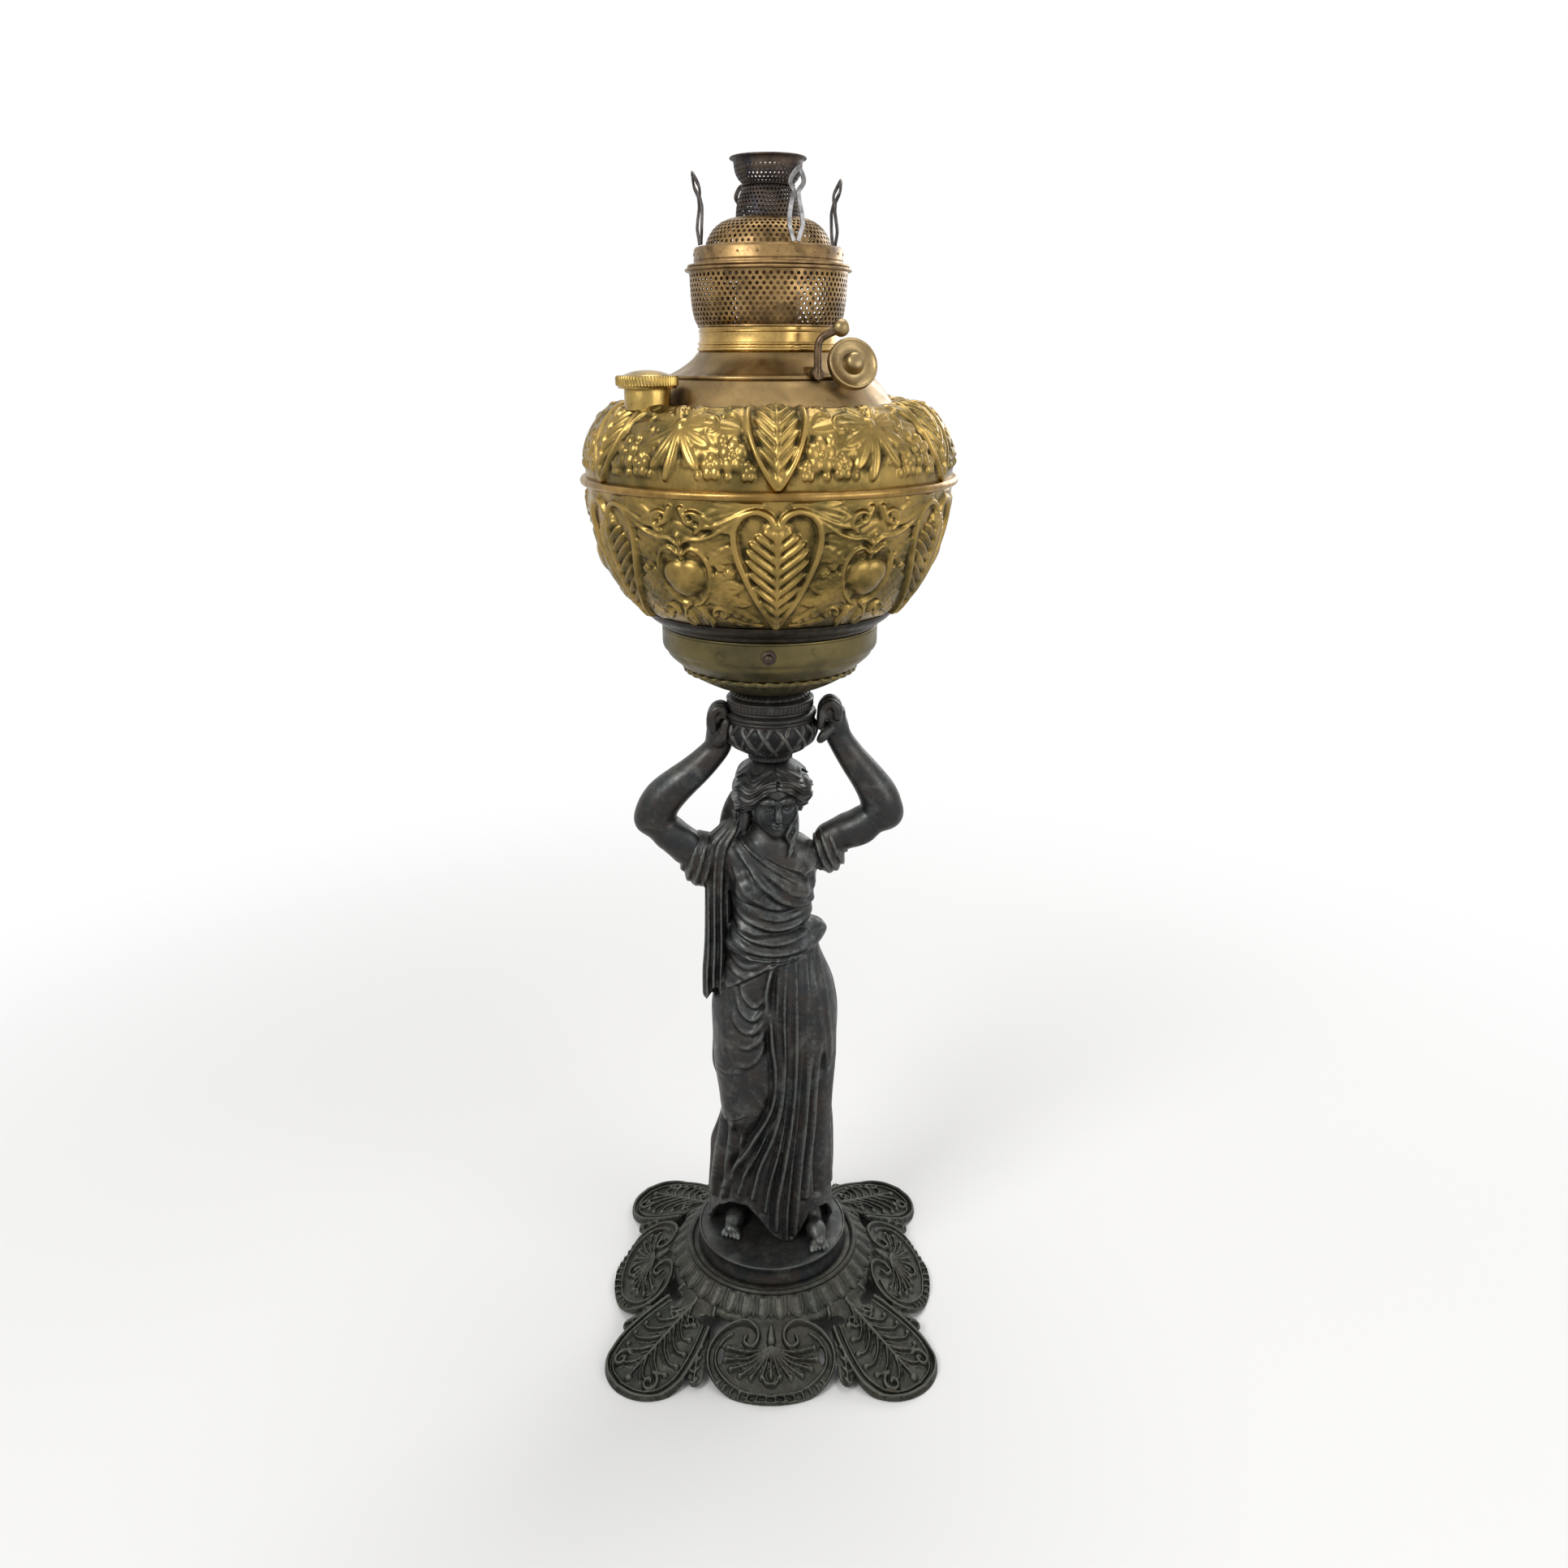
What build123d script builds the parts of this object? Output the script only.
from build123d import *
from math import acos, cos, pi, radians, sin, sqrt
import os

# Antique centre-draught oil banquet lamp: a cast maiden on a pierced lobed foot carries a basket on
# her head, and on that stands a cup that holds a drop-in brass oil font with its burner.
# Millimetres, +Z up, origin on the table under the lamp's axis, the figure faces -Y.

# ---- driving dimensions -------------------------------------------------------------------------

# fits between pieces
RUN = 0.05            # radial running clearance of a shaft in its bush
FREE = 0.3            # clearance between pieces that move past each other
ROD_CLEARANCE = 0.8   # clearance of the tie rod in the castings

# foot casting
SIDE_REACH = 107.7    # axis to the floor edge of a side medallion
FOOT_CORNER = 41.8    # plan corner radius of the foot's sloping skirt
RING_RADIUS = 65.5    # outer edge of the leaf border, where the pierced skirt starts
RING_HEIGHT = 28.0    # height of that edge
CAST_WALL = 4.5       # thickness of the foot casting
RELIEF = 1.6          # height of the raised rims and palmette on the skirt
MEDALLION_HALF = 40.0     # half width of a side medallion
MEDALLION_CENTRE = 76.0   # axis to the middle of a side medallion
MEDALLION_DEEP = 32.5     # half depth of a side medallion, in plan
RIM_WIDTH = 6.0           # raised rim round each medallion and lobe
LOBE_CENTRE = 75.0    # middle of a corner lobe's outer round, along X and along Y
LOBE_RADIUS = 29.0    # radius of that round
BRIDGE_WIDTH = 9.0    # leaf strips that tie medallions to lobes
PALMETTE_PETALS = 7   # petals of the fan in each medallion
DECK_HEIGHT = 38.4    # flat top of the foot, where the figure stands
BEAD_RADIUS = 54.5    # bead round the deck
BEAD_THICK = 2.0
BORDER_TOP = 57.0     # upper radius of the leaf border

# figure
PLINTH_RADIUS = 49.2
PLINTH_HEIGHT = 13.0
FIGURE_HEIGHT = 325.4     # plinth top to crown of the head
NECK_RADIUS = 10.0
SKIRT_FOLDS = 13
FOLD_DEPTH = 0.055    # share of the skirt's half width
UPPER_ARM_RADIUS = 10.4
FOREARM_RADIUS = 9.2
WRIST_RADIUS = 5.6
HEAD_HEIGHT = 46.0    # chin to crown
NECK_SHARE = 0.858    # joint between body and head, as a share of the figure's height
HEAD_TURN = 12.0      # head turned to its left, in degrees
HEAD_NOD = 8.0        # head bowed, in degrees

# carried basket, capital and tie rod
COLLAR_RADIUS = 12.8
COLLAR_HEIGHT = 3.5
BASKET_RADIUS = 27.7
BASKET_HEIGHT = 25.2
CAPITAL_RADIUS = 25.4
CAPITAL_HEIGHT = 8.8
FLUTED_HEIGHT = 5.0
FLUTED_RADIUS = 23.6
FLUTE_COUNT = 20
ROD_RADIUS = 3.2
NUT_ACROSS = 11.0     # across flats
NUT_HEIGHT = 5.0
WASHER_RADIUS = 12.0
WASHER_THICK = 1.6

# font cup
CUP_RADIUS = 60.3
CUP_HEIGHT = 38.1
CUP_BAND = 9.5        # height of its upright band
CUP_WALL = 1.2
CUP_DISH_RADIUS = 21.8
GADROON_COUNT = 24
SCREW_HEAD_RADIUS = 4.0
SCREW_SHANK_RADIUS = 1.9
SCREW_DROP = 7.6      # set screw below the cup's rim

# font
SHEET = 0.8           # brass sheet of the font
SEAT_DEPTH = 9.0      # how far the font drops into the cup
FONT_BOTTOM = 69.1    # radius at the foot of the lower shell
FONT_RISE = 9.2       # cup rim to the foot of the lower shell
FONT_LOWER = 69.2     # height of the lower shell
FONT_RADIUS = 98.0
FONT_UPPER = 38.5     # height of the upper shell
SHOULDER_RADIUS = 80.3    # where the shell turns in to its flat top
SEAM_BEAD = 1.9       # bead that covers the seam between the shells

# tank top cone and neck
CONE_FOOT = 65.6
CONE_STEP = 57.1
CONE_STEP_RISE = 11.9
STEP_INNER = 50.6
STEP_RISE = 3.2
CONE_RISE = 10.2
NECK_OUTER = 36.5
NECK_HEIGHT = 12.0

# filler
FILLER_X = -59.5
FILLER_Y = -47.0
FILLER_RADIUS = 11.5
FILLER_HEIGHT = 13.0
CAP_RADIUS = 15.6
CAP_HEIGHT = 6.0
CAP_SKIRT = 4.4       # depth of thread that the cap covers
KNURL_COUNT = 32
GASKET_THICK = 1.2

# burner tubes and wick
DRAUGHT_INNER = 12.0
TUBE_WALL = 0.6
WICK_THICK = 2.4
WICK_LENGTH = 150.0
WICK_LOWERED = 9.0     # how far the lowered wick stops under the tube's rim
TUBE_TOP_DROP = 35.0  # spreader rim to the rim of the draught tube
WICK_TUBE_LENGTH = 66.0

# burner basket and gallery
BASKET_SHEET = 0.8
BURNER_RADIUS = 40.7
BURNER_HEIGHT = 27.0
BURNER_FLANGE = 43.0
GALLERY_RADIUS = 38.2
GALLERY_BAND = 8.5
GALLERY_FLANGE = 41.7
DOME_FOOT = 32.4
DOME_HEIGHT = 13.6
DOME_THROAT = 18.2

# flame spreader
SPREADER_RIM = 19.8
SPREADER_CUP = 17.4
SPREADER_WAIST = 12.5
SPREADER_BELL = 16.3
SPREADER_SHEET = 0.6
SPREADER_HEIGHT = 31.0    # bell floor to rim
SPREADER_PLUG = 13.0      # length of the plug in the draught tube

# prongs that hold the chimney
PRONG_COUNT = 4
PRONG_TURN = 22.0     # turn of the first prong from -X towards -Y, in degrees
PRONG_HEIGHT = 33.0
PRONG_STRIP = 1.3
PRONG_WIDE = 7.5

# wick raiser: knob, shaft, pinion and rack
KNOB_RADIUS = 12.8
KNOB_THICK = 4.6
KNOB_BOSS = 4.6
KNOB_REACH = 61.3     # lamp axis to the middle of the knob, in plan
KNOB_ANGLE = -47.2    # direction of the knob in plan, from +X
KNOB_OVER_STEP = 4.8  # knob centre above the top of the cone's step
SHAFT_OFFSET = 23.7   # plan distance by which the shaft passes the lamp's axis
SHAFT_SLOPE = 21.0    # shaft rises outwards, in degrees
SHAFT_RADIUS = 1.6
PINION_TEETH = 10
PINION_RADIUS = 4.5   # pitch radius
PINION_LENGTH = 6.0
TOOTH_ABOVE = 0.7     # above the pitch line
TOOTH_BELOW = 0.95
TOOTH_WIDE = 1.12     # on the pitch line
TOOTH_NARROWING = 0.36    # flank lean, width lost per unit of height on each side
RACK_THICK = 1.2
RACK_WIDE = 6.0
WICK_TRAVEL = 12.0
CARRIER_HEIGHT = 8.0
GLAND_RADIUS = 3.6
GLAND_LENGTH = 15.0

# lighting lever that lifts the gallery
LEVER_ANGLE = -64.4   # direction of its pivot in plan, from +X
LEVER_SHAFT_RADIUS = 1.8
LEVER_ARM_RADIUS = 2.1
LEVER_RISE = 16.5     # pivot to the bend of the arm
LEVER_REACH = 11.0    # sideways reach of the ball
BALL_RADIUS = 4.4
CRANK_RADIUS = 10.0
CRANK_START = -30.0   # crank pin below level at rest, in degrees
LIFT_ROD_RADIUS = 1.2

# ---- heights that follow from them --------------------------------------------------------------

z_plinth = DECK_HEIGHT + PLINTH_HEIGHT
z_crown = z_plinth + FIGURE_HEIGHT
z_chin = z_crown - HEAD_HEIGHT
z_basket = z_crown + COLLAR_HEIGHT
z_capital = z_basket + BASKET_HEIGHT
z_fluted = z_capital + CAPITAL_HEIGHT
z_cup = z_fluted + FLUTED_HEIGHT
z_cup_rim = z_cup + CUP_HEIGHT
z_font = z_cup_rim + FONT_RISE
z_seam = z_font + FONT_LOWER
z_shoulder = z_seam + FONT_UPPER
z_step = z_shoulder + CONE_STEP_RISE
z_upper_cone = z_step + STEP_RISE
z_neck = z_upper_cone + CONE_RISE
z_burner = z_neck + NECK_HEIGHT
z_gallery = z_burner + BURNER_HEIGHT + 2 * BASKET_SHEET
z_dome = z_gallery + GALLERY_BAND + 2 * BASKET_SHEET
z_bell = z_dome + DOME_HEIGHT - 3.1
z_spreader_rim = z_bell + SPREADER_HEIGHT
z_tube_top = z_spreader_rim - TUBE_TOP_DROP
z_wick_top = z_tube_top - WICK_LOWERED
z_wick_tube = z_tube_top - WICK_TUBE_LENGTH

draught_outer = DRAUGHT_INNER + TUBE_WALL
wick_inner = draught_outer + FREE
wick_outer = wick_inner + WICK_THICK
wick_tube_inner = wick_outer + FREE
wick_tube_outer = wick_tube_inner + TUBE_WALL

# ---- helpers ------------------------------------------------------------------------------------


def turned(outline):
    """Solid of revolution about the lamp's axis from a closed outline of lines and arcs in (r, z)."""
    return revolve(Plane.XZ * make_face(outline), Axis.Z)


def turned_points(*points):
    """Solid of revolution from the corners of its outline."""
    return turned(Polyline(*points, close=True))


def joined(stretches):
    """Open outline from stretches of points: three points make an arc, any other number straights."""
    return Curve() + [ThreePointArc(*points) if len(points) == 3 else Polyline(*points)
                      for points in stretches]


def sheet(stretches, wall):
    """Closed outline of bent sheet metal that lies to the left of its outside line.

    The line is given as stretches that share their end points, as in joined().
    """
    corners = [Vector(*point) for point in stretches[0][:1]]
    for points in stretches:
        corners += [Vector(*point) for point in points[1:]]
    runs = [(b - a).normalized() for a, b in zip(corners, corners[1:])]
    befores = [runs[0]] + runs
    afters = runs + [runs[-1]]
    inner = []
    for corner, before, after in zip(corners, befores, afters):
        left = Vector(-before.Y - after.Y, before.X + after.X)
        moved = corner + left * (wall / (1 + before.dot(after)))
        inner.append((moved.X, moved.Y))
    moved_stretches = []
    first = 0
    for points in stretches:
        last = first + len(points) - 1
        moved_stretches.append(inner[first:last + 1])
        first = last
    ends = [Line(stretches[0][0], inner[0]), Line(stretches[-1][-1], inner[-1])]
    return joined(stretches) + joined(moved_stretches) + ends


def turned_sheet(stretches, wall):
    """Sheet metal turned about the axis; its outside line runs from the axis outwards and up."""
    return turned(sheet(stretches, wall))


def slab(low, high):
    """Wide disc between two heights, to trim turned sheets level."""
    return washer(2 * FONT_RADIUS, 0, low, high)


def washer(outer, inner, low, high):
    return turned_points((inner, low), (outer, low), (outer, high), (inner, high))


def rod(start, end, radius):
    """Round bar between two points."""
    along = Vector(*end) - Vector(*start)
    return extrude(Plane(origin=start, z_dir=along) * Circle(radius), along.length)


def ball(centre, radius):
    """Small ball, turned with straight facets."""
    return Pos(*centre) * turned_points(
        (0, -radius), (0.55 * radius, -0.84 * radius), (0.95 * radius, -0.3 * radius),
        (0.95 * radius, 0.3 * radius), (0.55 * radius, 0.84 * radius), (0, radius))


def ring_bead(radius, height, thick):
    """Half-round bead on a turned wall of the given radius."""
    return turned_points((radius - thick, height - thick), (radius + 0.5 * thick, height - thick),
                         (radius + thick, height), (radius + 0.5 * thick, height + thick),
                         (radius - thick, height + thick))


def egg(centre, halves, sides=12, bands=6):
    """Egg-shaped solid with the given half sizes along X, Y and Z."""
    sections = []
    for band in range(bands + 1):
        turn = pi * (band / bands - 0.5)
        width = max(cos(turn), 0.25)
        sections.append((halves[2] * sin(turn), (0, 0), (halves[0] * width, halves[1] * width), 0, sides // 2))
    return Pos(*centre) * draped(sections)


def limb(stations, sides=10):
    """Tapered limb through (point, radius) stations that lie near one straight line."""
    first = Vector(*stations[0][0])
    last = Vector(*stations[-1][0])
    along = last - first
    return loft([Plane(origin=point, z_dir=along) * RegularPolygon(radius, sides)
                 for point, radius in stations], ruled=True)


def draped(sections):
    """Draped body through outlines at rising heights."""
    return loft([fold_section(*section) for section in sections], ruled=True)


def fold_section(height, middle, halves, depth, folds):
    """Closed outline round a draped body; its corners stand out and in by turns as folds."""
    corners = []
    for step in range(2 * folds):
        turn = pi * step / folds
        swell = 1 + (depth if step % 2 else -depth)
        corners.append((middle[0] + halves[0] * swell * cos(turn),
                        middle[1] + halves[1] * swell * sin(turn), height))
    return make_face(Polyline(*corners, close=True))


# ---- foot ---------------------------------------------------------------------------------------


def foot_slope(raise_by):
    """Solid under the skirt's sloping face, from the round border to the squared floor outline."""
    top = squared_outline(RING_RADIUS, RING_RADIUS, RING_HEIGHT + raise_by)
    floor = squared_outline(SIDE_REACH, FOOT_CORNER, raise_by)
    return loft([floor, top], ruled=True)


def squared_outline(reach, corner, height, steps=5):
    """Square outline with rounded corners, each corner of a few straights."""
    points = []
    for quarter in range(4):
        for step in range(steps + 1):
            turn = pi / 2 * (quarter + step / steps)
            middle = pi / 2 * quarter + pi / 4
            points.append(((reach - corner) * sqrt(2) * cos(middle) + corner * cos(turn),
                           (reach - corner) * sqrt(2) * sin(middle) + corner * sin(turn), height))
    if corner == reach:
        return make_face(Polyline(*[points[i] for i in range(len(points)) if i % (steps + 1)], close=True))
    return make_face(Polyline(*points, close=True))


def oval(x, y, half_x, half_y, sides=24):
    """Plan outline near an ellipse."""
    corners = [(x + half_x * cos(2 * pi * step / sides), y + half_y * sin(2 * pi * step / sides))
               for step in range(sides)]
    return make_face(Polyline(*corners, close=True))


def medallion(shrink):
    """Plan of the side medallion that faces -Y."""
    return oval(0, -MEDALLION_CENTRE, MEDALLION_HALF - shrink, MEDALLION_DEEP - shrink)


def corner_lobe(shrink):
    """Plan of a corner lobe: a round end on the diagonal that narrows towards the border."""
    round_end = oval(LOBE_CENTRE, -LOBE_CENTRE, LOBE_RADIUS - shrink, LOBE_RADIUS - shrink, 16)
    inner = RING_RADIUS * cos(radians(45)) + shrink
    root = oval(inner, -inner, 0.6 * LOBE_RADIUS - shrink, 0.6 * LOBE_RADIUS - shrink, 12)
    return make_hull([*round_end.edges(), *root.edges()])


def palmette():
    """Plan of the fan of petals inside a medallion."""
    centre_y = -(MEDALLION_CENTRE - 0.45 * MEDALLION_DEEP)
    long_half = 0.42 * MEDALLION_DEEP
    petals = oval(0, centre_y, 0.2 * MEDALLION_DEEP, 0.2 * MEDALLION_DEEP, 12)
    for petal in range(PALMETTE_PETALS):
        turn = -90 + (petal - (PALMETTE_PETALS - 1) / 2) * 150 / PALMETTE_PETALS
        petals += (Pos(0, centre_y) * Rot(0, 0, turn)
                   * oval(1.5 * long_half, 0, 1.25 * long_half, 0.22 * long_half, 10))
    return petals & medallion(0)


def bridges():
    """Leaf strips between the front medallion and its two neighbouring lobes."""
    strips = Sketch()
    for side in (-1, 1):
        strips += (Pos(side * (MEDALLION_HALF + 3), -MEDALLION_CENTRE - 6)
                   * Rectangle(BRIDGE_WIDTH, 0.9 * MEDALLION_DEEP))
    return strips


def cast_plate(plan, raised):
    """Plate of the foot over a plan outline, with a raised pattern on its face."""
    tall = RING_HEIGHT + 2 * RELIEF
    plate = (extrude(plan, tall) & foot_slope(0)) - foot_slope(-CAST_WALL)
    relief = (extrude(raised, tall) & foot_slope(RELIEF)) - foot_slope(-0.5)
    return plate + (relief - Cylinder(RING_RADIUS, 4 * RING_HEIGHT))


def base_casting():
    """Foot: sloping skirt of pierced medallions and corner lobes, leaf border, bead and deck."""
    fan = palmette()
    side = cast_plate(medallion(0) - (medallion(RIM_WIDTH) - fan) + bridges(),
                      medallion(0.8) - medallion(RIM_WIDTH - 0.8) + fan)
    corner = cast_plate(corner_lobe(0), corner_lobe(0.8) - corner_lobe(RIM_WIDTH - 0.8))
    pieces_round = [Rot(0, 0, 90 * quarter) * plate for quarter in range(4) for plate in (side, corner)]
    deck = turned_points(
        (ROD_RADIUS + ROD_CLEARANCE, DECK_HEIGHT - CAST_WALL),
        (BORDER_TOP - 2 * CAST_WALL, DECK_HEIGHT - CAST_WALL),
        (RING_RADIUS - CAST_WALL, RING_HEIGHT - CAST_WALL),
        (RING_RADIUS + 3, RING_HEIGHT - CAST_WALL),
        (RING_RADIUS + 3, RING_HEIGHT - 1.9),
        (RING_RADIUS, RING_HEIGHT + 1),
        (BORDER_TOP, DECK_HEIGHT - BEAD_THICK),
        (BEAD_RADIUS, DECK_HEIGHT),
        (ROD_RADIUS + ROD_CLEARANCE, DECK_HEIGHT))
    bead = ring_bead(BEAD_RADIUS, DECK_HEIGHT - 0.6, BEAD_THICK)
    under_deck = Pos(0, 0, RING_HEIGHT - CAST_WALL) * Cylinder(
        RING_RADIUS - CAST_WALL, RING_HEIGHT, align=(Align.CENTER, Align.CENTER, Align.MAX))
    return (deck + bead + pieces_round) - under_deck


# ---- figure -------------------------------------------------------------------------------------


def rod_bore():
    return Cylinder(ROD_RADIUS + ROD_CLEARANCE, 3 * z_crown)


def up(share):
    """Height on the figure, as a share of the way from plinth top to crown."""
    return z_plinth + share * FIGURE_HEIGHT


def figure_body():
    """Plinth, draped dress, mantle and veil, up to the joint at the neck."""
    dress = draped([
        (up(0.000), (-0.5, 0), (39.0, 29.0), FOLD_DEPTH, SKIRT_FOLDS),
        (up(0.137), (-0.5, 0), (39.5, 28.5), FOLD_DEPTH, SKIRT_FOLDS),
        (up(0.230), (1.7, 0), (37.2, 28.0), FOLD_DEPTH, SKIRT_FOLDS),
        (up(0.297), (3.0, 0), (36.2, 28.0), 0.8 * FOLD_DEPTH, SKIRT_FOLDS),
        (up(0.386), (2.2, 0), (38.2, 28.5), 0.6 * FOLD_DEPTH, SKIRT_FOLDS),
        (up(0.490), (1.5, 0), (39.4, 29.0), 0.4 * FOLD_DEPTH, SKIRT_FOLDS),
        (up(0.540), (1.8, 0), (37.5, 27.7), 0.4 * FOLD_DEPTH, SKIRT_FOLDS),
        (up(0.573), (2.0, 0), (34.8, 26.0), 0.4 * FOLD_DEPTH, SKIRT_FOLDS),
        (up(0.620), (1.5, 0), (30.0, 22.6), 0.3 * FOLD_DEPTH, SKIRT_FOLDS)])
    bodice = draped([
        (up(0.606), (2.0, -0.5), (31.0, 23.6), 0.02, 9),
        (up(0.640), (2.0, -0.5), (30.4, 22.8), 0.02, 9),
        (up(0.656), (1.0, -0.5), (26.0, 20.5), 0.01, 9),
        (up(0.670), (0.5, -0.5), (23.8, 19.3), 0.01, 9),
        (up(0.700), (0.5, -1.8), (25.6, 21.2), 0, 9),
        (up(0.727), (0.5, -2.5), (27.2, 22.5), 0, 9),
        (up(0.772), (0.0, -2.0), (28.5, 21.0), 0, 9),
        (up(0.805), (-2.0, -0.6), (32.5, 18.0), 0, 9),
        (up(0.825), (-1.8, 0.2), (30.5, 16.2), 0, 9),
        (up(0.843), (-1.0, 0.6), (21.0, 13.8), 0, 9),
        (up(NECK_SHARE), (0, 0.5), (NECK_RADIUS + 1, NECK_RADIUS + 1), 0, 9)])
    mantle = draped([
        (up(0.490), (-36.0, 3), (8.5, 15.0), 0.06, 6),
        (up(0.620), (-32.5, 2), (7.8, 13.0), 0.06, 6),
        (up(0.740), (-32.0, 1), (7.5, 13.0), 0.05, 6),
        (up(0.825), (-29.0, 1), (9.5, 12.0), 0.03, 6)])
    veil = draped([
        (up(0.560), (0, 17), (13.0, 7.0), 0.05, 7),
        (up(0.740), (-1, 17), (18.0, 8.0), 0.05, 7),
        (up(NECK_SHARE), (-2, 15), (21.0, 8.5), 0.04, 7)])
    plinth = turned_points(
        (0, DECK_HEIGHT), (PLINTH_RADIUS, DECK_HEIGHT), (PLINTH_RADIUS, DECK_HEIGHT + 2),
        (PLINTH_RADIUS - 1, z_plinth - 1), (PLINTH_RADIUS - 2, z_plinth), (0, z_plinth))
    feet = egg((-20, -33, z_plinth + 3), (7, 12, 6.5)) + egg((27, -32, z_plinth + 3), (7, 12, 6.5))
    feet -= Pos(0, 0, z_plinth - 10) * Box(200, 200, 20)
    body = plinth + dress + bodice + mantle + veil + left_sleeve() + right_sleeve() + feet
    return body - rod_bore()


def left_sleeve():
    return egg((-42, 0, up(0.798)), (13, 13.5, 19))


def right_sleeve():
    return egg((34, 0, up(0.825)), (11.5, 13, 16))


# joints of each arm: shoulder, elbow and wrist points, and the middle of the hand
LEFT_ARM = ((-40, 0, 0.801), (-69, -2, 0.886), (-30.5, 0, 1.020), (-32.5, -1, 1.068))
RIGHT_ARM = ((36, 0, 0.842), (67, -2, 0.894), (39.5, 0, 1.040), (36.5, -1, 1.078))


def between(start, end, share):
    return tuple(a + (b - a) * share for a, b in zip(start, end))


def arm(joints):
    """Bare arm from inside the sleeve to the hand on the basket."""
    shoulder, elbow, wrist, hand = [(x, y, up(share)) for x, y, share in joints]
    upper = limb([(shoulder, UPPER_ARM_RADIUS), (between(shoulder, elbow, 0.5), UPPER_ARM_RADIUS),
                  (elbow, FOREARM_RADIUS + 0.6)])
    fore = limb([(elbow, FOREARM_RADIUS + 0.4), (between(elbow, wrist, 0.35), FOREARM_RADIUS),
                 (between(elbow, wrist, 0.7), 0.5 * (FOREARM_RADIUS + WRIST_RADIUS)),
                 (wrist, WRIST_RADIUS)])
    palm = limb([(wrist, WRIST_RADIUS), (hand, 0.9 * WRIST_RADIUS)])
    return upper + ball(elbow, FOREARM_RADIUS + 0.6) + fore + ball(wrist, WRIST_RADIUS) + palm


def hand(joints):
    """Closed hand on the basket's rim."""
    x, y, share = joints[3]
    return egg((x, y, up(share)), (5.4, 7.4, 12.0))


def arm_piece(joints, sleeve):
    return (arm(joints) + hand(joints)) - sleeve - carried_basket() - capital()


def head_frame():
    """Places a head modelled upright about its centre, chin at -Z and face at -Y."""
    return Pos(1, -1, z_chin + 0.5 * HEAD_HEIGHT) * Rot(HEAD_NOD, 0, HEAD_TURN)


def figure_head():
    half = 0.5 * HEAD_HEIGHT
    face = egg((0, -4, -0.10 * half), (14.2, 17.0, 0.90 * half))
    hair = egg((0, 3.5, 0.17 * half), (21.5, 20.5, 0.86 * half))
    bun = egg((0, 19, -0.1 * half), (10, 9, 10))
    nose = limb([((0, -19.2, 0.12 * half), 1.5), ((0, -21.2, -0.22 * half), 2.3)])
    veil = draped([
        (-1.3 * half, (-2, 14), (20.0, 8.5), 0.04, 7),
        (-0.9 * half, (0, 13), (16.0, 9.0), 0.04, 7),
        (0.1 * half, (0, 10), (18.0, 10.0), 0, 7)])
    opening = egg((0, -20, -0.35 * half), (13.4, 17.5, 0.92 * half))
    head = head_frame() * (face + (hair - opening) + bun + nose + veil)
    neck = Pos(0, 0, up(NECK_SHARE)) * Cylinder(NECK_RADIUS, 0.6 * HEAD_HEIGHT,
                                           align=(Align.CENTER, Align.CENTER, Align.MIN))
    room = Pos(0, 0, up(NECK_SHARE)) * Box(200, 200, z_crown - up(NECK_SHARE),
                                           align=(Align.CENTER, Align.CENTER, Align.MIN))
    return ((head + neck) & room) - rod_bore()


# ---- carried basket, capital, tie rod and cup ---------------------------------------------------


def carried_basket():
    belly = z_basket + 0.56 * BASKET_HEIGHT
    rim = z_basket + 0.83 * BASKET_HEIGHT
    bowl = turned_points((0, z_basket), (COLLAR_RADIUS + 1, z_basket), (0.86 * BASKET_RADIUS, z_basket + 6.6),
                         (BASKET_RADIUS, belly), (BASKET_RADIUS - 2.5, rim),
                         (BASKET_RADIUS - 1, z_capital - 2.5), (BASKET_RADIUS - 1, z_capital),
                         (0, z_capital))
    collar = washer(COLLAR_RADIUS, 0, z_crown, z_basket)
    return bowl + collar - rod_bore()


def capital():
    """Reeded ring that closes the basket under the cup."""
    ring = turned_points(
        (0, z_capital), (CAPITAL_RADIUS - 1.6, z_capital), (CAPITAL_RADIUS, z_capital + 1.2),
        (CAPITAL_RADIUS, z_fluted - 1.2), (CAPITAL_RADIUS - 1.2, z_fluted), (0, z_fluted))
    return ring - rod_bore()


def fluted_dome():
    """Fluted cushion between the capital and the cup."""
    dome = turned_points((0, z_fluted), (FLUTED_RADIUS, z_fluted), (FLUTED_RADIUS, z_fluted + 1.5),
                         (CUP_DISH_RADIUS, z_cup), (0, z_cup))
    groove = Pos(FLUTED_RADIUS, 0, z_fluted + 0.5 * FLUTED_HEIGHT) * Rot(0, 0, 45) * Box(2, 2, 8)
    dome -= [Rot(0, 0, 360 * index / FLUTE_COUNT) * groove for index in range(FLUTE_COUNT)]
    return dome - rod_bore()


def cup_floor():
    return z_cup + CUP_WALL


def cup_outline():
    """Outside of the cup, from the rod's hole to the rim."""
    height = CUP_HEIGHT
    return [((ROD_RADIUS + ROD_CLEARANCE, z_cup), (CUP_DISH_RADIUS, z_cup), (39.5, z_cup + 0.18 * height),
             (52.0, z_cup + 0.41 * height), (57.3, z_cup + 0.575 * height),
             (CUP_RADIUS, z_cup_rim - CUP_BAND), (CUP_RADIUS, z_cup_rim))]


def filled(stretches):
    """Solid inside an outside line that starts and ends level with the faces that close it."""
    low = stretches[0][0]
    high = stretches[-1][-1]
    return turned(joined(stretches) + Polyline(high, (0, high[1]), (0, low[1]), low))


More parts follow.
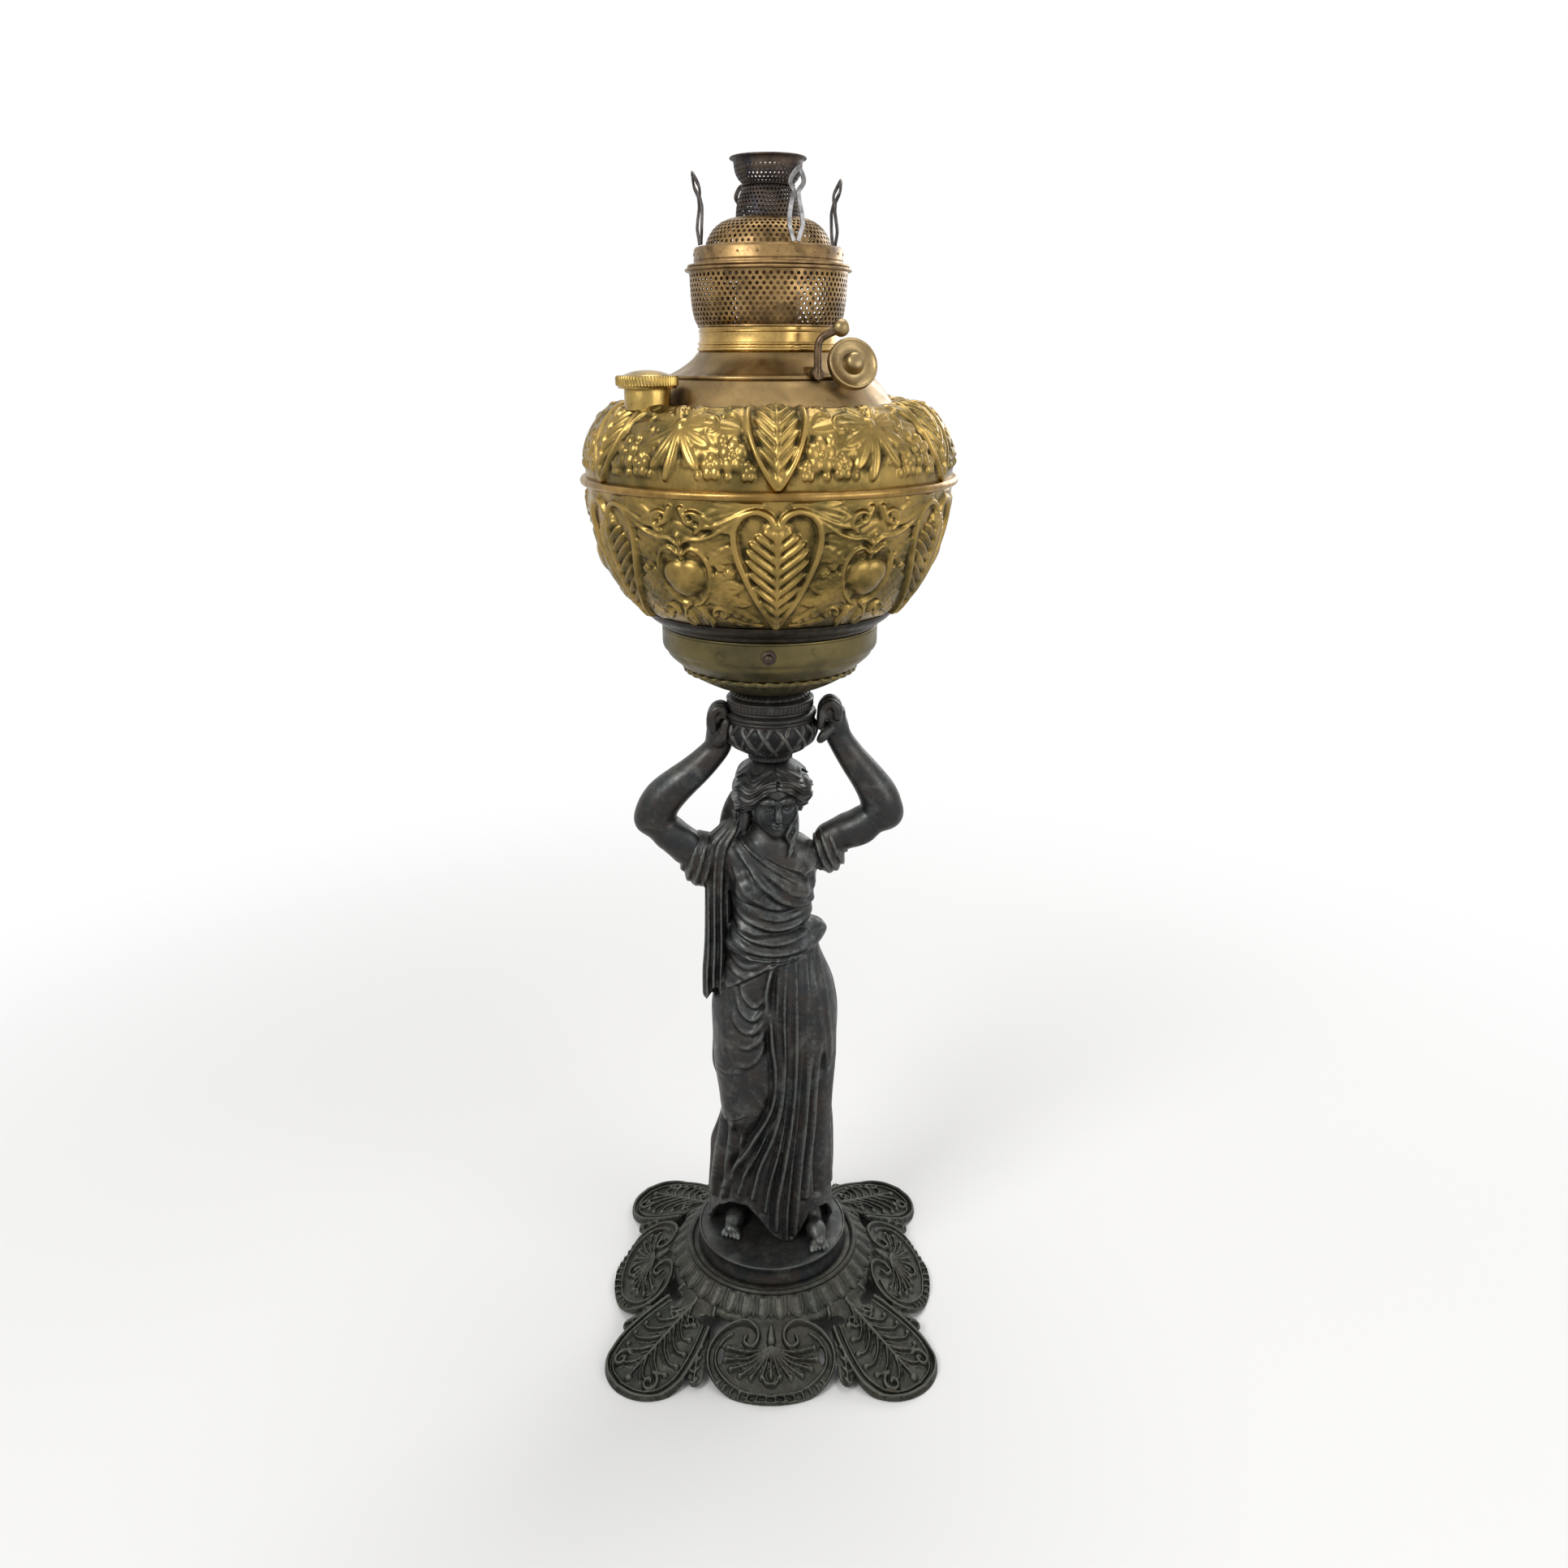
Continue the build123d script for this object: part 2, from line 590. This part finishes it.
def font_cup():
    """Spun cup that holds the font, with a gadrooned dish under its bead."""
    cup = turned_sheet(cup_outline(), CUP_WALL)
    bead = ring_bead(48.6, z_cup + 0.336 * CUP_HEIGHT, 1.6)
    inside = filled(cup_outline())
    rib = Polyline((CUP_DISH_RADIUS + 2, z_cup + 0.6), (CUP_DISH_RADIUS + 4, z_cup - 0.6),
                   (41, z_cup + 3.4), (45, z_cup + 8.6), (42, z_cup + 11), (30, z_cup + 6), close=True)
    gadroon = extrude(Plane.XZ * make_face(rib), 1.9, both=True) - inside
    gadroons = [Rot(0, 0, 360 * index / GADROON_COUNT) * gadroon for index in range(GADROON_COUNT)]
    hole = Pos(0, -CUP_RADIUS, screw_height()) * Rot(90, 0, 0) * extrude(
        RegularPolygon(SCREW_SHANK_RADIUS + RUN, 8, major_radius=False), 5, both=True)
    return cup + (bead - inside) + gadroons - hole


def screw_height():
    return z_cup_rim - SCREW_DROP


def seat_radius():
    """Outside of the font's seat band, inside the cup."""
    return CUP_RADIUS - CUP_WALL - FREE


def set_screw():
    """Screw that locks the font; its tip stops just short of the seat band."""
    height = screw_height()
    outside = -CUP_RADIUS
    shank = rod((0, -seat_radius() - FREE, height), (0, outside - 1, height), SCREW_SHANK_RADIUS)
    head = rod((0, outside - 0.1, height), (0, outside - 4.5, height), SCREW_HEAD_RADIUS)
    slot = Pos(0, outside - 4.5, height) * Box(2 * SCREW_HEAD_RADIUS, 2, 0.9)
    return shank + head - slot


def hex_nut(low):
    nut = extrude(Pos(0, 0, low) * RegularPolygon(0.5 * NUT_ACROSS, 6, major_radius=False), NUT_HEIGHT)
    return nut - Cylinder(ROD_RADIUS + RUN, 3 * z_crown)


def tie_rod():
    """Threaded rod that clamps foot, figure, basket and cup together."""
    low = DECK_HEIGHT - CAST_WALL - WASHER_THICK - NUT_HEIGHT - 2
    high = cup_floor() + WASHER_THICK + NUT_HEIGHT + 2
    return washer(ROD_RADIUS, 0, low, high)


# ---- font ---------------------------------------------------------------------------------------


def font_seat_band():
    """Blackened band that drops into the cup and carries the font."""
    inner = seat_radius() - 1
    band = turned_points(
        (inner, z_cup_rim - SEAT_DEPTH), (seat_radius(), z_cup_rim - SEAT_DEPTH),
        (seat_radius(), z_cup_rim), (CUP_RADIUS, z_cup_rim), (CUP_RADIUS + 2.6, z_cup_rim + 2.4),
        (FONT_BOTTOM - 3, z_font - 1.5), (FONT_BOTTOM - 1, z_font), (inner, z_font))
    hole = Pos(seat_radius(), 0, z_cup_rim - 0.5 * SEAT_DEPTH) * Rot(0, 90, 0) * Cylinder(2.2, 10)
    return band - [Rot(0, 0, 15 + 30 * index) * hole for index in range(12)]


def lower_outline():
    """Outside of the lower shell, from the foot to the seam."""
    return [((FONT_BOTTOM, z_font), (0.842 * FONT_RADIUS, z_font + 0.205 * FONT_LOWER),
             (0.921 * FONT_RADIUS, z_font + 0.446 * FONT_LOWER),
             (0.977 * FONT_RADIUS, z_font + 0.724 * FONT_LOWER), (FONT_RADIUS, z_seam))]


def font_lower_shell():
    plate = ((draught_outer, z_font), (FONT_BOTTOM, z_font))
    return turned_sheet([plate] + lower_outline(), SHEET) & slab(z_font, z_seam)


def upper_outline():
    """Outside of the upper shell, from the seam over the shoulder."""
    return [((FONT_RADIUS, z_seam), (1.006 * FONT_RADIUS, z_seam + 0.26 * FONT_UPPER),
             (0.975 * FONT_RADIUS, z_seam + 0.55 * FONT_UPPER),
             (0.914 * FONT_RADIUS, z_seam + 0.81 * FONT_UPPER), (SHOULDER_RADIUS, z_shoulder))]


def font_upper_shell():
    top = ((SHOULDER_RADIUS, z_shoulder), (CONE_FOOT - 4, z_shoulder))
    return turned_sheet(upper_outline() + [top], SHEET) & slab(z_seam, z_shoulder)


def font_bead():
    """Rolled bead that covers the seam between the two shells."""
    ring = ring_bead(FONT_RADIUS + 1.7, z_seam, SEAM_BEAD)
    return ring - filled(lower_outline()) - filled(upper_outline())


def cone_outline():
    """Outside of the stepped tank top, from the shoulder to the neck."""
    bead = CONE_STEP - 4.4
    return [((CONE_FOOT, z_shoulder), (CONE_STEP, z_step)), ((CONE_STEP, z_step), (bead, z_step + 0.4)),
            ((bead, z_step + 0.4), (bead, z_step + 2.2)), ((bead, z_step + 2.2), (STEP_INNER, z_upper_cone)),
            ((STEP_INNER, z_upper_cone), (NECK_OUTER, z_neck))]


def tank_cone():
    cone = turned_sheet(cone_outline(), SHEET)
    cone &= slab(z_shoulder, z_neck)
    holes = rod(shaft_point(-GLAND_LENGTH), shaft_point(GLAND_LENGTH + 20), GLAND_RADIUS)
    holes += rod(lever_point(-30), lever_point(10), LEVER_SHAFT_RADIUS + 1.4)
    return cone - holes


def neck_collar():
    """Beaded collar that screws into the tank and carries the burner."""
    inner = NECK_OUTER - 1
    return turned_points(
        (inner, z_neck), (NECK_OUTER, z_neck), (NECK_OUTER, z_neck + 1.6), (NECK_OUTER + 0.7, z_neck + 2.4),
        (NECK_OUTER, z_neck + 3.2), (NECK_OUTER + 0.7, z_neck + 4.6), (NECK_OUTER, z_neck + 6),
        (NECK_OUTER - 0.3, z_burner), (inner, z_burner))


def filler_neck():
    tube = Pos(FILLER_X, FILLER_Y, z_shoulder - 6) * (
        Cylinder(FILLER_RADIUS, FILLER_HEIGHT + 6, align=(Align.CENTER, Align.CENTER, Align.MIN))
        - Cylinder(FILLER_RADIUS - 1, FILLER_HEIGHT + 6, align=(Align.CENTER, Align.CENTER, Align.MIN)))
    return tube - filled(upper_outline()) - filled(cone_outline())


def filler_top():
    return z_shoulder + FILLER_HEIGHT


def cap_gasket():
    return Pos(FILLER_X, FILLER_Y, filler_top()) * Cylinder(
        FILLER_RADIUS, GASKET_THICK, align=(Align.CENTER, Align.CENTER, Align.MIN))


def filler_cap():
    """Knurled, slightly domed screw cap."""
    low = -CAP_SKIRT
    high = CAP_HEIGHT - CAP_SKIRT
    inner = FILLER_RADIUS + FREE
    shell = turned(
        Polyline((0, GASKET_THICK), (inner, GASKET_THICK), (inner, low), (CAP_RADIUS - 1, low),
                 (CAP_RADIUS - 1, low + 1), (CAP_RADIUS, low + 1.6), (CAP_RADIUS, high),
                 (CAP_RADIUS - 2, high + 0.8))
        + Polyline((CAP_RADIUS - 2, high + 0.8), (0.5 * CAP_RADIUS, high + 2.2), (0, high + 2.6),
                   (0, GASKET_THICK)))
    notch = Pos(CAP_RADIUS + 0.15, 0, 0.5 * (low + 1.6 + high)) * Box(0.9, 0.9, high - low - 1.6)
    shell -= [Rot(0, 0, 360 * index / KNURL_COUNT) * notch for index in range(KNURL_COUNT)]
    return Pos(FILLER_X, FILLER_Y, filler_top()) * shell


# ---- burner -------------------------------------------------------------------------------------


def draught_tube():
    """Open centre tube that feeds air to the inside of the flame."""
    return washer(draught_outer, DRAUGHT_INNER, z_font - 4, z_tube_top)


def outer_wick_tube():
    return washer(wick_tube_outer, wick_tube_inner, z_wick_tube, z_tube_top)


def burner_plate():
    """Plate across the neck that carries the outer wick tube, pierced for air and the lift rod."""
    low = z_burner - 4
    plate = washer(NECK_OUTER - 1, wick_tube_outer, low, low + 1)
    x, y, _ = lift_rod_foot()
    plate -= Pos(x, y, low) * Cylinder(LIFT_ROD_RADIUS + FREE, 5)
    vent = Pos(0.5 * (NECK_OUTER + wick_tube_outer), 0, low) * Cylinder(3.4, 5)
    return plate - [Rot(0, 0, 10 + 45 * index) * vent for index in range(7)]


def burner_basket():
    """Air basket between the neck and the gallery, with a rolled flange."""
    rim = z_burner + BURNER_HEIGHT
    outside = [((NECK_OUTER - 1, z_burner), (NECK_OUTER + 0.2, z_burner),
                (BURNER_RADIUS - 1.4, z_burner + 0.42 * BURNER_HEIGHT), (BURNER_RADIUS, rim))]
    wall = turned_sheet(outside, BASKET_SHEET)
    return wall + washer(BURNER_FLANGE, BURNER_RADIUS - BASKET_SHEET, rim - 0.4, z_gallery)


def gallery_ring():
    """Ring that carries the dome, the prongs and the chimney."""
    return turned_points(
        (DOME_FOOT - 2, z_gallery), (GALLERY_FLANGE, z_gallery), (GALLERY_FLANGE, z_gallery + 1.6),
        (GALLERY_RADIUS, z_gallery + 2), (GALLERY_RADIUS, z_dome - 0.5), (GALLERY_RADIUS - 0.5, z_dome),
        (DOME_FOOT - 0.8, z_dome), (DOME_FOOT - 0.8, z_dome - 1), (GALLERY_RADIUS - 1, z_dome - 1),
        (GALLERY_RADIUS - 1, z_gallery + 1), (DOME_FOOT - 2, z_gallery + 1))


def gallery_dome():
    """Dome that throws the outer air on to the flame."""
    outside = [((DOME_FOOT, z_dome), (30.6, z_dome + 5), (26.2, z_dome + 10.4),
                (DOME_THROAT + 2.4, z_dome + DOME_HEIGHT - 0.6), (DOME_THROAT, z_dome + DOME_HEIGHT))]
    return turned_sheet(outside, SPREADER_SHEET) & slab(z_dome, z_spreader_rim)


def lift_rod_foot():
    """Centre of the lift rod's foot, over the crank pin."""
    start = radians(CRANK_START)
    x, y, z = lever_point(-20)
    side = lever_side()
    shift = CRANK_RADIUS * cos(start) + 0.8
    return (x + shift * side[0], y + shift * side[1], z + CRANK_RADIUS * sin(start))


def lift_rod():
    """Rod and foot by which the crank lifts the gallery."""
    x, y, z = lift_rod_foot()
    foot = z + LIFT_ROD_RADIUS + FREE
    rod_part = rod((x, y, foot), (x, y, z_gallery), LIFT_ROD_RADIUS)
    return rod_part + Pos(x, y, foot) * Cylinder(2.6, 1.2, align=(Align.CENTER, Align.CENTER, Align.MIN))


def prong(index):
    """Looped spring prong: two legs that meet in a diamond eye and lean outwards at the tip."""
    wide = 0.5 * PRONG_WIDE
    low = -0.5
    loop = Polyline((-0.34 * wide, low), (-wide, 7), (-0.72 * wide, 14), (-0.42 * wide, 22),
                    (-wide, 25.5), (-0.5 * wide, 30), (0, PRONG_HEIGHT), (0.5 * wide, 30), (wide, 25.5),
                    (0.42 * wide, 22), (0.72 * wide, 14), (wide, 7), (0.34 * wide, low), close=True)
    eye = Polyline((0, 22.8), (0.5 * wide, 25.6), (0, 29.6), (-0.5 * wide, 25.6), close=True)
    slit = Polyline((0, 4), (0.6 * wide, 8), (0.36 * wide, 14), (0, 20), (-0.36 * wide, 14),
                    (-0.6 * wide, 8), close=True)
    face = make_face(loop) - make_face(eye) - make_face(slit)
    blank = extrude(Plane.YZ * face, 30, both=True)
    side = [((0, low), (0.3, 8), (-0.6, 17), (0.6, 24), (4.0, PRONG_HEIGHT))]
    strip = blank & extrude(Plane.XZ * make_face(sheet(side, PRONG_STRIP)), PRONG_WIDE, both=True)
    return (Rot(0, 0, prong_angle(index)) * Pos(DOME_FOOT + 3.6, 0, z_dome + 0.5) * strip)


def prong_angle(index):
    return 180 + PRONG_TURN + 360 * index / PRONG_COUNT


# ---- flame spreader -----------------------------------------------------------------------------


def spreader_bell():
    """Pierced thimble that spreads the centre air; its plug drops into the draught tube."""
    z = z_bell
    waist = z + SPREADER_HEIGHT - 12.9
    outside = [((draught_outer - 0.1, z), (SPREADER_BELL, z), (SPREADER_BELL, z + 5),
                (SPREADER_BELL - 2.2, waist - 4.5), (SPREADER_WAIST, waist))]
    bell = turned_sheet(outside, SPREADER_SHEET)
    plug_radius = DRAUGHT_INNER - FREE
    plug = turned_points(
        (plug_radius - SPREADER_SHEET, z_tube_top - SPREADER_PLUG), (plug_radius, z_tube_top - SPREADER_PLUG),
        (plug_radius, z_tube_top), (draught_outer - 0.1, z_tube_top), (draught_outer - 0.1, z + 0.6),
        (plug_radius - SPREADER_SHEET, z + 0.6))
    return bell + plug


def spreader_cup():
    """Open rolled cup riveted to the top of the bell."""
    low = z_bell + SPREADER_HEIGHT - 12.9
    outside = [((SPREADER_WAIST - 4, low), (SPREADER_WAIST, low), (SPREADER_CUP - 1.6, low + 4),
                (SPREADER_CUP, low + 9), (SPREADER_RIM, low + 11.6))]
    cup = turned_sheet(outside, SPREADER_SHEET) + washer(SPREADER_WAIST - 2, 0, low, low + SPREADER_SHEET)
    roll = washer(SPREADER_RIM, SPREADER_RIM - 1.5, z_spreader_rim - 1.6, z_spreader_rim)
    return cup + roll


# ---- wick and raiser ----------------------------------------------------------------------------


def shaft_foot():
    """Point of the shaft's line nearest to the lamp's axis, in plan, and the plan direction outwards."""
    swing = radians(KNOB_ANGLE) + acos(SHAFT_OFFSET / KNOB_REACH)
    foot = (SHAFT_OFFSET * cos(swing), SHAFT_OFFSET * sin(swing))
    out = (sin(swing), -cos(swing))
    return foot, out


def knob_run():
    """Plan length from the shaft's nearest point to the knob."""
    return sqrt(KNOB_REACH ** 2 - SHAFT_OFFSET ** 2)


def shaft_point(run):
    """Point on the shaft's line; run is measured in plan inwards from the knob's centre."""
    foot, out = shaft_foot()
    left = knob_run() - run
    return (foot[0] + left * out[0], foot[1] + left * out[1],
            z_upper_cone + KNOB_OVER_STEP - run * sin(radians(SHAFT_SLOPE)) / cos(radians(SHAFT_SLOPE)))


def shaft_out():
    """Unit vector along the shaft, outwards."""
    _, out = shaft_foot()
    level = cos(radians(SHAFT_SLOPE))
    return Vector(out[0] * level, out[1] * level, sin(radians(SHAFT_SLOPE)))


def mesh_plane():
    """Plane square to the shaft at the pinion; local X points to the rack, local Y upwards."""
    foot, _ = shaft_foot()
    to_rack = Vector(-foot[0], -foot[1], 0)
    return Plane(origin=shaft_point(knob_run()), x_dir=to_rack, z_dir=shaft_out() * -1)


def wick_knob():
    """Dished round knob with a domed boss."""
    half = 0.5 * KNOB_THICK
    disc = turned(
        Polyline((0, -half), (KNOB_RADIUS - 0.8, -half), (KNOB_RADIUS, -half + 0.8),
                 (KNOB_RADIUS, half - 0.8), (KNOB_RADIUS - 0.9, half), (KNOB_RADIUS - 2.2, half),
                 (KNOB_RADIUS - 3.4, half - 1), (KNOB_BOSS, half - 1.2), (KNOB_BOSS, half + 0.6))
        + Polyline((KNOB_BOSS, half + 0.6), (0.75 * KNOB_BOSS, half + 2.8), (0, half + 3.9), (0, -half)))
    bore = Pos(0, 0, -half) * Cylinder(SHAFT_RADIUS, KNOB_THICK)
    return Plane(origin=shaft_point(0), z_dir=shaft_out()) * (disc - bore)


def raiser_shaft():
    return rod(shaft_point(knob_run() + 9), shaft_point(0), SHAFT_RADIUS)


def tooth(base, above, below, narrowing):
    """Outline of one rack or pinion tooth that points along local -X or +X from the pitch line."""
    wide_tip = base - 2 * narrowing * above
    wide_root = base + 2 * narrowing * below
    return ((above, -0.5 * wide_tip), (above, 0.5 * wide_tip), (-below, 0.5 * wide_root),
            (-below, -0.5 * wide_root))


def raiser_pinion():
    root = PINION_RADIUS - TOOTH_BELOW
    outline = Polyline(*[(PINION_RADIUS + x, y) for x, y in
                         tooth(TOOTH_WIDE, TOOTH_ABOVE, TOOTH_BELOW + 0.4, TOOTH_NARROWING)], close=True)
    wheel = Circle(root)
    for index in range(PINION_TEETH):
        wheel += Rot(0, 0, 360 * index / PINION_TEETH) * make_face(outline)
    wheel -= Circle(SHAFT_RADIUS)
    return extrude(mesh_plane() * wheel, 0.5 * PINION_LENGTH, both=True)


def rack_pitch():
    """Height between rack teeth: the circular pitch, stretched by the shaft's slope."""
    return 2 * pi * PINION_RADIUS / PINION_TEETH / cos(radians(SHAFT_SLOPE))


def rack_frame():
    """Upright frame on the rack's pitch line: local X to the lamp's axis, local Z up."""
    foot, _ = shaft_foot()
    x, y, z = shaft_point(knob_run())
    to_axis = Vector(-foot[0], -foot[1], 0).normalized()
    place = Vector(x, y, z) + to_axis * PINION_RADIUS
    return Plane(origin=place, x_dir=to_axis, z_dir=(0, 0, 1))


def wick_rise_floor():
    """Lower edge of the wick carrier, lowered."""
    return shaft_point(knob_run())[2] - WICK_TRAVEL - CARRIER_HEIGHT


def raiser_rack():
    """Toothed strip on the wick carrier, its teeth parallel to the sloping shaft."""
    low = wick_rise_floor() - shaft_point(knob_run())[2]
    high = 7
    bar = Pos(TOOTH_BELOW + 0.5 * RACK_THICK, 0, 0.5 * (low + high)) * Box(RACK_THICK, RACK_WIDE, high - low)
    strip = rack_frame() * bar
    envelope = rack_frame() * (Pos(0, 0, 0.5 * (low + high)) * Box(3 * TOOTH_BELOW, RACK_WIDE, high - low))
    outline = make_face(Polyline(*[(-x, y) for x, y in tooth(TOOTH_WIDE, TOOTH_ABOVE, TOOTH_BELOW,
                                                             TOOTH_NARROWING)], close=True))
    mesh = mesh_plane()
    pitch = 2 * pi * PINION_RADIUS / PINION_TEETH
    count = int((high - low) / rack_pitch()) + 2
    for index in range(-count, 3):
        place = (index + 0.5) * pitch
        bar_tooth = extrude(mesh * (Pos(PINION_RADIUS, place) * outline), RACK_WIDE, both=True)
        strip += bar_tooth & envelope
    return strip


def wick_carrier():
    """Ring that grips the wick, with a lug that carries the rack."""
    low = wick_rise_floor()
    ring = washer(wick_outer + 1, wick_outer, low, low + CARRIER_HEIGHT)
    lug = rack_frame() * (Pos(TOOTH_BELOW + RACK_THICK + 1.5, 0, low + 0.5 * CARRIER_HEIGHT
                              - shaft_point(knob_run())[2]) * Box(3, RACK_WIDE, CARRIER_HEIGHT))
    return ring + (lug - Cylinder(wick_outer + 0.5, 4000))


def wick():
    """Tubular woven wick."""
    return washer(wick_outer, wick_inner, z_wick_top - WICK_LENGTH, z_wick_top)


def raiser_gland():
    """Packed bush in which the shaft passes the tank's wall."""
    start = shaft_point(5)
    end = shaft_point(5 + GLAND_LENGTH * cos(radians(SHAFT_SLOPE)))
    return rod(start, end, GLAND_RADIUS) - rod(shaft_point(-5), shaft_point(40), SHAFT_RADIUS + RUN)


# ---- lighting lever -----------------------------------------------------------------------------


def lever_side():
    """Unit vector to the right of the lever's pivot, seen from outside the lamp."""
    turn = radians(LEVER_ANGLE)
    return (-sin(turn), cos(turn))


def lever_point(reach, side=0, rise=0):
    """Point in the lever's frame; reach is outwards from the cone's step."""
    turn = radians(LEVER_ANGLE)
    out = STEP_INNER + reach
    right = lever_side()
    return (out * cos(turn) + side * right[0], out * sin(turn) + side * right[1],
            z_upper_cone + 0.4 + rise)


def lever_crank():
    """Lever's shaft with the crank and pin that lift the gallery."""
    start = radians(CRANK_START)
    side = CRANK_RADIUS * cos(start)
    rise = CRANK_RADIUS * sin(start)
    shaft = rod(lever_point(-17), lever_point(4), LEVER_SHAFT_RADIUS)
    web = rod(lever_point(-17), lever_point(-15.5), 3.0)
    web += rod(lever_point(-17, side, rise), lever_point(-15.5, side, rise), 2.0)
    web += limb([(lever_point(-16.2), 1.2), (lever_point(-16.2, side, rise), 1.2)])
    pin = rod(lever_point(-22.4, side, rise), lever_point(-16, side, rise), LIFT_ROD_RADIUS)
    return shaft + web + pin


def lever_arm():
    """Bent arm of the lever, from its eye on the shaft up and aside to the ball."""
    bottom = lever_point(6.4, 0, 0)
    bend = lever_point(5.6, 0.6, LEVER_RISE)
    tip = lever_point(9, LEVER_REACH, LEVER_RISE + 4.6)
    eye = rod(lever_point(4, 0, 0), lever_point(7, 0, 0), 3.2)
    arm_part = limb([(bottom, 2.2), (between(bottom, bend, 0.5), 1.9), (bend, LEVER_ARM_RADIUS)])
    return eye + arm_part + ball(bend, LEVER_ARM_RADIUS) + limb([(bend, LEVER_ARM_RADIUS), (tip, 1.7)])


def lever_ball():
    tip = lever_point(9, LEVER_REACH, LEVER_RISE + 4.6)
    return ball(tip, BALL_RADIUS) - lever_arm()


def lever_bush():
    bush = rod(lever_point(-6), lever_point(3.7), LEVER_SHAFT_RADIUS + 1.4)
    return bush - rod(lever_point(-30), lever_point(10), LEVER_SHAFT_RADIUS + RUN)


def raiser_bracket():
    """Strap under the burner plate with the bearing for the shaft's inner end."""
    end_run = knob_run() + 6.5
    low = shaft_point(end_run)
    frame = Plane(origin=low, x_dir=mesh_plane().x_dir, z_dir=(0, 0, 1))
    top = z_burner - 4 - low[2]
    strap = frame * (Pos(0, 0, 0.5 * (top - 3.5)) * Box(5.5, 1.6, top + 3.5))
    return strap - rod(shaft_point(knob_run()), shaft_point(end_run + 12), SHAFT_RADIUS + RUN)


# ---- build --------------------------------------------------------------------------------------


def pieces():
    built = {
        "base_casting": base_casting(),
        "figure_body": figure_body(),
        "figure_head": figure_head(),
        "arm_left": arm_piece(LEFT_ARM, left_sleeve()),
        "arm_right": arm_piece(RIGHT_ARM, right_sleeve()),
        "carried_basket": carried_basket(),
        "capital_ring": capital(),
        "fluted_dome": fluted_dome(),
        "tie_rod": tie_rod(),
        "base_washer": washer(WASHER_RADIUS, ROD_RADIUS + FREE, DECK_HEIGHT - CAST_WALL - WASHER_THICK,
                              DECK_HEIGHT - CAST_WALL),
        "base_nut": hex_nut(DECK_HEIGHT - CAST_WALL - WASHER_THICK - NUT_HEIGHT),
        "font_cup": font_cup(),
        "cup_washer": washer(WASHER_RADIUS, ROD_RADIUS + FREE, cup_floor(), cup_floor() + WASHER_THICK),
        "cup_nut": hex_nut(cup_floor() + WASHER_THICK),
        "set_screw": set_screw(),
        "font_seat_band": font_seat_band(),
        "font_lower_shell": font_lower_shell(),
        "font_upper_shell": font_upper_shell(),
        "font_bead": font_bead(),
        "tank_cone": tank_cone(),
        "neck_collar": neck_collar(),
        "filler_neck": filler_neck(),
        "cap_gasket": cap_gasket(),
        "filler_cap": filler_cap(),
        "draught_tube": draught_tube(),
        "outer_wick_tube": outer_wick_tube(),
        "burner_plate": burner_plate(),
        "burner_basket": burner_basket(),
        "gallery_ring": gallery_ring(),
        "gallery_dome": gallery_dome(),
        "lift_rod": lift_rod(),
        "spreader_bell": spreader_bell(),
        "spreader_cup": spreader_cup(),
        "wick_knob": wick_knob(),
        "raiser_shaft": raiser_shaft(),
        "raiser_pinion": raiser_pinion(),
        "raiser_gland": raiser_gland(),
        "raiser_bracket": raiser_bracket(),
        "raiser_rack": raiser_rack(),
        "wick_carrier": wick_carrier(),
        "wick": wick(),
        "lever_crank": lever_crank(),
        "lever_arm": lever_arm(),
        "lever_ball": lever_ball(),
        "lever_bush": lever_bush(),
    }
    for index in range(PRONG_COUNT):
        built["prong_" + str(index + 1)] = prong(index)
    return built


os.makedirs("parts", exist_ok=True)
for name, solid in pieces().items():
    export_step(solid, "parts/" + name + ".step")
    print(name, round(solid.volume, 1), len(solid.solids()))
